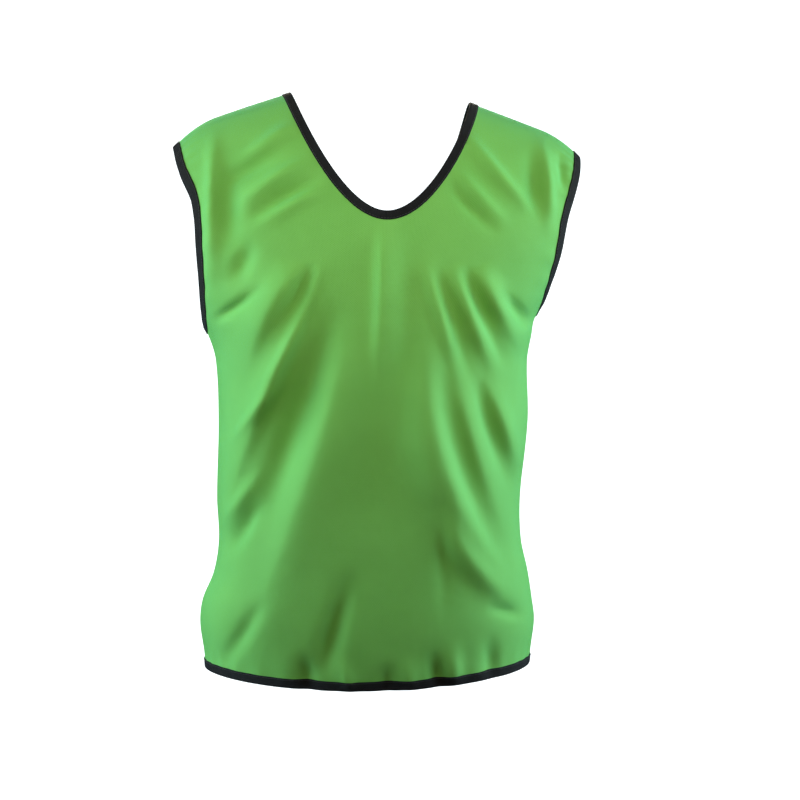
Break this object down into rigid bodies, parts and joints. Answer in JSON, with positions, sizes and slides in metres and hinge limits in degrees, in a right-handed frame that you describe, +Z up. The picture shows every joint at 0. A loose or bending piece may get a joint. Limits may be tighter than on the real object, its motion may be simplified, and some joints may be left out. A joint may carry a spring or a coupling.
{
  "type": "mesh training bib",
  "caption": "Sleeveless V-neck bib of fine green mesh cloth with dark binding round neck, armholes and hem, in its worn, hollow form",
  "frame": {"origin": "midway between the neck points of the two shoulder seams, where the wearer's shoulders carry it", "axes": "+Z up, the front faces -Y, +X is at the right of someone who looks at the front"},
  "size_m": [0.48, 0.2349, 0.6872],
  "materials": {
    "mesh_cloth": "fine knitted polyester mesh, soft satin sheen",
    "binding": "dark folded binding tape, matt"
  },
  "bodies": {
    "root": {"front_panel": "mesh_cloth", "back_panel": "mesh_cloth", "neck_binding": "binding", "left_armhole_binding": "binding", "right_armhole_binding": "binding", "hem_binding": "binding"}
  },
  "joints": []
}
